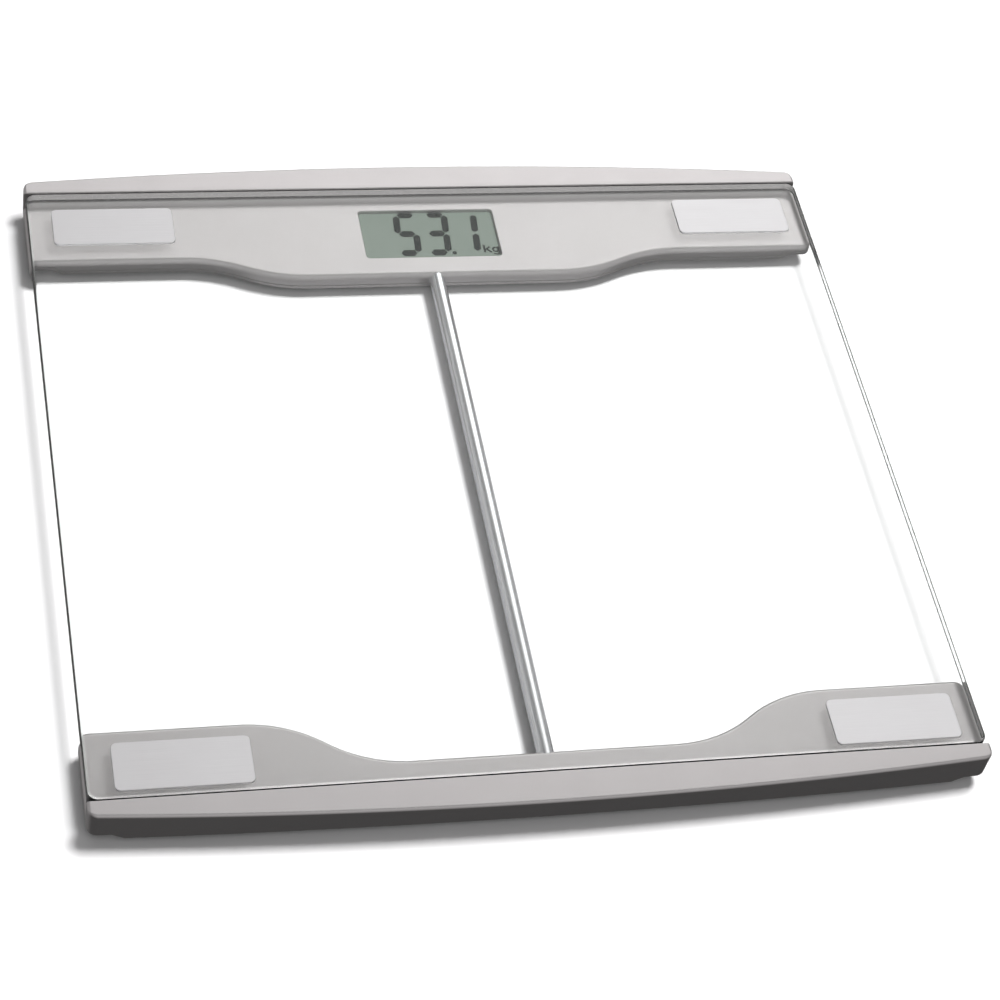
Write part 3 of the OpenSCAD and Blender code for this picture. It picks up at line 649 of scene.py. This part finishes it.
DIGIT_Y, DIGIT_HALF, DIGIT_W, SLANT = 127.05, 12.8, 10.7, 0.065
STROKE_V, STROKE_H, STROKE_GAP, STROKE_POINT = 2.9, 3.5, 0.4, 0.8
SEGMENT_Z = (LCD_HIGH[2] + 0.004, LCD_HIGH[2] + 0.02)
LIT = {"1": "bc", "3": "abgcd", "5": "afgcd"}
# Digits with the x of their right sides, and the decimal point's x, y and radius.
READING = (("5", -3.5), ("3", 9.25), ("1", 21.8))
POINT = (9.55, 115.6, 0.95)


def display_panel():
    soft, corner_r, low, high = 0.1, 0.3, LCD_LOW[2], LCD_HIGH[2]
    levels = [(low, soft), (low + soft, 0), (high - soft, 0), (high, soft)]
    bm = bmesh.new()
    slab(bm, *plan(LCD_LOW, LCD_HIGH), corner_r, levels, 3)
    finish_mesh("display_panel", bm, DISPLAY, stands_for=("lcd_panel",), weighted=True)


def segment(p, q, width):
    """Six-sided bar from p to q with pointed ends, slanted like the digits."""
    dx, dy = q[0] - p[0], q[1] - p[1]
    length = math.hypot(dx, dy)
    ux, uy = dx / length, dy / length
    h = width / 2
    t = h * STROKE_POINT
    along = [(0, 0), (t, h), (length - t, h), (length, 0), (length - t, -h), (t, -h)]
    points = [(p[0] + ux * a - uy * b, p[1] + uy * a + ux * b) for a, b in along]
    return [(x + SLANT * (y - DIGIT_Y), y) for x, y in points]


def digit(letter, right):
    """Lit segments of one digit whose right side stands at x = right."""
    xr, xl = right - STROKE_V / 2, right - DIGIT_W + STROKE_V / 2
    reach = DIGIT_HALF - STROKE_H / 2
    top, mid, low = DIGIT_Y + reach, DIGIT_Y, DIGIT_Y - reach
    gap = STROKE_GAP
    spots = {
        "a": ((xl + gap, top), (xr - gap, top), STROKE_H),
        "b": ((xr, mid + gap), (xr, top - gap), STROKE_V),
        "c": ((xr, low + gap), (xr, mid - gap), STROKE_V),
        "d": ((xl + gap, low), (xr - gap, low), STROKE_H),
        "e": ((xl, low + gap), (xl, mid - gap), STROKE_V),
        "f": ((xl, mid + gap), (xl, top - gap), STROKE_V),
        "g": ((xl + gap, mid), (xr - gap, mid), STROKE_H),
    }
    return [segment(*spots[name]) for name in LIT[letter]]


def straight(p, q, width):
    """Outline of a straight stroke of the unit mark."""
    dx, dy = q[0] - p[0], q[1] - p[1]
    length = math.hypot(dx, dy)
    nx, ny = -dy / length * width / 2, dx / length * width / 2
    return [(p[0] + nx, p[1] + ny), (p[0] - nx, p[1] - ny), (q[0] - nx, q[1] - ny), (q[0] + nx, q[1] + ny)]


def curved(cx, cy, rx, ry, width, start, end, steps=14):
    """Outline of a curved stroke of the unit mark, from one angle to another."""
    angles = [math.radians(start + (end - start) * k / steps) for k in range(steps + 1)]
    outer = [(cx + rx * math.cos(a), cy + ry * math.sin(a)) for a in angles]
    inner = [(cx + (rx - width) * math.cos(a), cy + (ry - width) * math.sin(a)) for a in reversed(angles)]
    return outer + inner


def unit_mark():
    """Outlines of the letters kg."""
    return [
        straight((22.6, 115.5), (22.6, 120.0), 0.9),
        straight((22.9, 117.0), (25.1, 118.8), 0.85),
        straight((23.4, 117.5), (25.4, 115.5), 0.85),
        curved(27.3, 117.1, 1.45, 1.6, 0.8, 0, 360, 24),
        straight((28.6, 118.8), (28.6, 115.2), 0.8),
        curved(27.45, 115.3, 1.55, 1.3, 0.8, -160, 0),
    ]


def display_segments():
    outlines = [outline for letter, right in READING for outline in digit(letter, right)]
    outlines += [circle(*POINT, 24)] + unit_mark()
    bm = bmesh.new()
    for outline in outlines:
        prism(bm, outline, *SEGMENT_Z)
    finish_mesh("display_segments", bm, DIGIT)


display_panel()
display_segments()


# ---- Feet --------------------------------------------------------------------------------

POST_R, NECK_R, STEM_R, STEM_H = 4.5, 1.7, 2.8, 0.4
DISC_TOP = FLOOR_Z - 0.4
# Rings under a pad, from its middle: radius, height above the floor.
PAD_RINGS = [(0.8, 0.35), (1.2, 0.05), (2.4, 0), (2.9, 0.35), (3.6, 0.35), (4.1, 0), (6.4, 0), (6.9, 0.5),
             (8.0, 0.5), (8.5, 0)]


def foot_and_pad(corner):
    """Foot disc with its post, and a neck and head that snap into the load cell."""
    low, high = node_box("foot_cap_" + corner)
    pad_low, pad_high = node_box("foot_pad_" + corner)
    cell_low, cell_high = node_box("load_cell_" + corner)
    cx, cy, width, _ = plan(low, high)
    r, pad_r, lip_z = width / 2, (pad_high[0] - pad_low[0]) / 2, low[2] + 0.05
    profile = [(pad_r - 0.3, low[2]), (pad_r + 0.1, lip_z)] + soft_rim(r, lip_z, 0.5, -1)[::-1]
    profile += soft_rim(r, DISC_TOP, 0.8, 1) + [(POST_R + 0.5, DISC_TOP), (POST_R, DISC_TOP + 0.15)]
    profile += [(POST_R, cell_low[2]), (NECK_R, cell_low[2]), (NECK_R, cell_high[2]), (STEM_R, cell_high[2])]
    profile += soft_rim(STEM_R, cell_high[2] + STEM_H, 0.2, 1)
    bm = bmesh.new()
    spun(bm, profile, cx, cy)
    finish_mesh("foot_" + corner, bm, FOOT, stands_for=("foot_cap_" + corner,), sharp=35)

    profile = PAD_RINGS + soft_rim(pad_r, 0, 0.5, -1)[::-1] + soft_rim(pad_r, pad_high[2], 0.1, 1, 2)
    bm = bmesh.new()
    spun(bm, profile, cx, cy)
    finish_mesh("pad_" + corner, bm, RUBBER, stands_for=("foot_pad_" + corner,), sharp=35)


for corner in CORNERS:
    foot_and_pad(corner)


# ---- Battery cover and unit button ---------------------------------------------------------

COVER_X, COVER_Y = -66, GLASS_D / 2 - 17
COVER_R, CELL_ROOM_R, LUG_R, LUG_HALF = 12.6, 10.9, 14, 10
SKIRT_H = 0.9
# Ring groove under the cover: radii of its edges and floor, depth.
RING_R, RING_DEPTH = (7.6, 7.9, 8.5, 8.8), 0.25
# Coin slot and the two marks: width, length, corner radius, depth.
COIN_SLOT, MARK, MARK_R = (14, 1.8, 0.89, 0.7), (0.9, 1.8, 0.44, 0.25), 10.8
BUTTON_R, FLANGE_T = 3, 0.4
# Dish under the button: radius, depth.
DISH = [(0.6, 0.2), (1.6, 0.12), (2.2, 0)]


def cover_lug(way):
    """Plan of a bayonet lug on the left (-1) or right (1) of the cover."""
    turns = [math.radians(a) for a in range(-LUG_HALF, LUG_HALF + 1, 4)]
    outer = [(COVER_X + way * LUG_R * math.cos(a), COVER_Y + LUG_R * math.sin(a)) for a in turns]
    root = COVER_R - 0.8
    inner = [(COVER_X + way * root * math.cos(a), COVER_Y + root * math.sin(a)) for a in reversed(turns)]
    return outer + inner


def battery_cover():
    """Round cover with a ring groove, a coin slot, two marks and two lugs."""
    base, skirt_r, skirt_top = BASE_Z, COVER_R - 0.3, FLOOR_Z + SKIRT_H
    profile = [(r, base + up) for r, up in zip(RING_R, (0, RING_DEPTH, RING_DEPTH, 0))]
    profile += soft_rim(COVER_R, base, 0.3, -1)[::-1]
    profile += [(COVER_R, FLOOR_Z - 0.1), (skirt_r, FLOOR_Z)] + soft_rim(skirt_r, skirt_top, 0.2, 1, 2)
    profile += [(CELL_ROOM_R + 0.1, skirt_top), (CELL_ROOM_R, skirt_top - 0.1), (CELL_ROOM_R, FLOOR_Z)]
    bm = bmesh.new()
    spun(bm, profile, COVER_X, COVER_Y, 96)
    for way in (-1, 1):
        prism(bm, cover_lug(way), FLOOR_Z + 0.15, skirt_top)
    cover = finish_mesh("cover", bm, COVER, body="cover", stands_for=("battery_cover",),
                        sharp=180)
    slot = rounded_rect(COVER_X, COVER_Y, *COIN_SLOT[:3], 8)
    cut(cover, lambda b: prism(b, slot, base - PAST / 2, base + COIN_SLOT[3]))
    for way in (1, -1):
        mark = rounded_rect(COVER_X, COVER_Y + way * MARK_R, *MARK[:3], 6)
        cut(cover, lambda b: prism(b, mark, base - PAST / 2, base + MARK[3]))
    shade(cover, 35)


def unit_button():
    """Dished round button with a flange that keeps it in the base."""
    low, high = node_box("unit_button")
    cx, cy, width, _ = plan(low, high)
    profile = [(r, low[2] + depth) for r, depth in DISH] + soft_rim(BUTTON_R, low[2], 0.35, -1)[::-1]
    profile += [(BUTTON_R, high[2] - FLANGE_T), (width / 2, high[2] - FLANGE_T)]
    profile += soft_rim(width / 2, high[2], 0.1, 1, 2)
    bm = bmesh.new()
    spun(bm, profile, cx, cy)
    finish_mesh("button", bm, BUTTON, body="button", stands_for=("unit_button",),
                sharp=35)


battery_cover()
unit_button()


# ---- Materials of the frame's own nodes --------------------------------------------------

# The longest key that starts a node's name gives its material.
PAINTED = {
    "bond_pad": SILICONE, "rear_base": BASE, "front_base": BASE, "tube_plug": PLUG, "lcd_frame": FRAME,
    "zebra_strip": STRIPED, "main_board": BOARD, "button_board": BOARD, "controller_chip": EPOXY,
    "board_parts": CERAMIC, "tact_switch": SWITCH, "unit_button": BUTTON, "coin_cell": COIN,
    "battery_contact": BRASS, "battery_cover": COVER, "load_cell": CELL_PLATE, "strain_gauge": SEALANT,
    "cell_retainer": RETAINER, "foot_cap": FOOT, "foot_pad": RUBBER, "wires_front": RED,
    "wires_rear": WHITE, "wires_board": BLACK, "rear_base_screws": SCREW, "front_base_screws": SCREW,
    "retainer_screws": SCREW, "board_screws": SCREW,
}

for name, node in nodes.items():
    keys = [k for k in PAINTED if name.startswith(k)]
    if keys:
        node.data.materials.clear()
        node.data.materials.append(PAINTED[max(keys, key=len)])


# ---- Stage: floor, reflector card, lamps and world, in metres ------------------------------

FLOOR_HALF = 3.0
# The card, in millimetres: height, and gaps to the glass's sides, the glass's front and the rear wall.
CARD_Z, CARD_SIDE, CARD_FRONT, CARD_REAR = 0.8, 4, 34, 0.5
LAMP_DISTANCE = 3.0
# Lamps: azimuth from +Y towards +X, elevation, side, brightness.
LAMPS = {
    "key": (82, 76, 0.8, 49.0),
    "fill": (-60, 86, 3.4, 0.35),
    "front": (185, 52, 1.6, 2.2),
}
# Bright patches of the world: azimuth from +Y towards +X, elevation, reach in degrees, brightness.
PATCHES = [
    (22, 34, 28, 2.15),
    (0, 90, 105, 0.30),
    (-60, -10, 60, 0.45),
    (80, 10, 50, 0.15),
    (0, -90, 110, 0.10),
    (175, 28, 62, 0.4),
]


def plain(name, colour, rough):
    """Matt card of nearly one tone."""
    look = Look(name)
    cloud = look.noise(60, 3)
    dark, light = tones(colour, 0.01)
    look.colour(look.ramp(cloud, [(0.3, dark), (0.7, light)]))
    look.roughness(cloud, rough - 0.05, rough + 0.05)
    return look.material


def sheet(name, x0, x1, y0, y1, z, material):
    """Flat stage sheet over a rectangle."""
    bm = bmesh.new()
    bm.faces.new([bm.verts.new(p) for p in ((x0, y0, z), (x1, y0, z), (x1, y1, z), (x0, y1, z))])
    mesh = bpy.data.meshes.new(name)
    bm.to_mesh(mesh)
    bm.free()
    obj = bpy.data.objects.new(name, mesh)
    mesh.materials.append(material)
    bpy.context.scene.collection.objects.link(obj)
    return obj


def direction(azimuth, elevation):
    """Unit vector, the azimuth measured from +Y towards +X."""
    a, e = math.radians(azimuth), math.radians(elevation)
    return Vector((math.sin(a) * math.cos(e), math.cos(a) * math.cos(e), math.sin(e)))


def softbox(name, azimuth, elevation, side, radiance):
    """Square area light of that brightness, facing the platform, which lights diffuse surfaces only."""
    data = bpy.data.lights.new(name, "AREA")
    data.size = side
    data.energy = radiance * math.pi * side * side
    lamp = bpy.data.objects.new(name, data)
    lamp.location = direction(azimuth, elevation) * LAMP_DISTANCE
    lamp.rotation_euler = (-lamp.location).to_track_quat("-Z", "Y").to_euler()
    lamp.visible_glossy = False
    lamp.visible_transmission = False
    bpy.context.scene.collection.objects.link(lamp)


def studio_world():
    """Dark studio with soft bright patches, which only reflections and the camera see."""
    world = bpy.data.worlds.new("studio")
    bpy.context.scene.world = world
    world.use_nodes = True
    world.cycles_visibility.diffuse = False
    tree = world.node_tree
    coords = tree.nodes.new("ShaderNodeTexCoord")
    total = None
    for azimuth, elevation, reach, level in PATCHES:
        facing = tree.nodes.new("ShaderNodeVectorMath")
        facing.operation = "DOT_PRODUCT"
        facing.inputs[1].default_value = direction(azimuth, elevation)
        tree.links.new(coords.outputs["Generated"], facing.inputs[0])
        patch = tree.nodes.new("ShaderNodeMapRange")
        patch.interpolation_type = "SMOOTHSTEP"
        patch.inputs["From Min"].default_value = math.cos(math.radians(reach))
        patch.inputs["To Max"].default_value = level
        tree.links.new(facing.outputs["Value"], patch.inputs["Value"])
        if total is None:
            total = patch.outputs["Result"]
            continue
        add = tree.nodes.new("ShaderNodeMath")
        add.operation = "ADD"
        tree.links.new(total, add.inputs[0])
        tree.links.new(patch.outputs["Result"], add.inputs[1])
        total = add.outputs["Value"]
    tree.links.new(total, tree.nodes["Background"].inputs["Strength"])
    tree.nodes["Background"].inputs["Color"].default_value = (1, 0.985, 0.985, 1)


floor = sheet("floor", -FLOOR_HALF, FLOOR_HALF, -FLOOR_HALF, FLOOR_HALF, 0,
              plain("floor_white", (0.95, 0.945, 0.95), 0.8))
floor.visible_glossy = False
floor.visible_diffuse = False

# Only reflections see this card, which stands in for the bright floor under the glass.
card_x = (GLASS_W / 2 - CARD_SIDE) * MM
card_front, card_rear = (CARD_FRONT - GLASS_D / 2) * MM, (REAR_LINE[0] - CARD_REAR) * MM
card = sheet("bounce_card", -card_x, card_x, card_front, card_rear, CARD_Z * MM,
             plain("card_white", (0.34, 0.335, 0.34), 0.8))
card.visible_camera = False
card.visible_diffuse = False
card.visible_transmission = False
card.visible_shadow = False

for name, lamp in LAMPS.items():
    softbox(name, *lamp)
studio_world()


# ---- Camera --------------------------------------------------------------------------------

CAMERA_AT, CAMERA_AIM = Vector((-0.24172, -0.67648, 0.81831)), Vector((0.00251, -0.02337, 0.02))
CAMERA_ROLL, LENS, SENSOR = 13.348, 99.617, 36

scene = bpy.context.scene
scene.view_settings.view_transform = "Standard"
scene.view_settings.look = "None"
scene.view_settings.exposure = 0.0

camera_data = bpy.data.cameras.new("camera")
camera_data.sensor_width = SENSOR
camera_data.lens = LENS
camera_data.clip_start, camera_data.clip_end = 0.05, 20
camera = bpy.data.objects.new("camera", camera_data)
scene.collection.objects.link(camera)
camera.location = CAMERA_AT
camera.rotation_mode = "QUATERNION"
roll = Matrix.Rotation(math.radians(CAMERA_ROLL), 4, "Z").to_quaternion()
camera.rotation_quaternion = (CAMERA_AIM - CAMERA_AT).to_track_quat("-Z", "Y") @ roll
scene.camera = camera
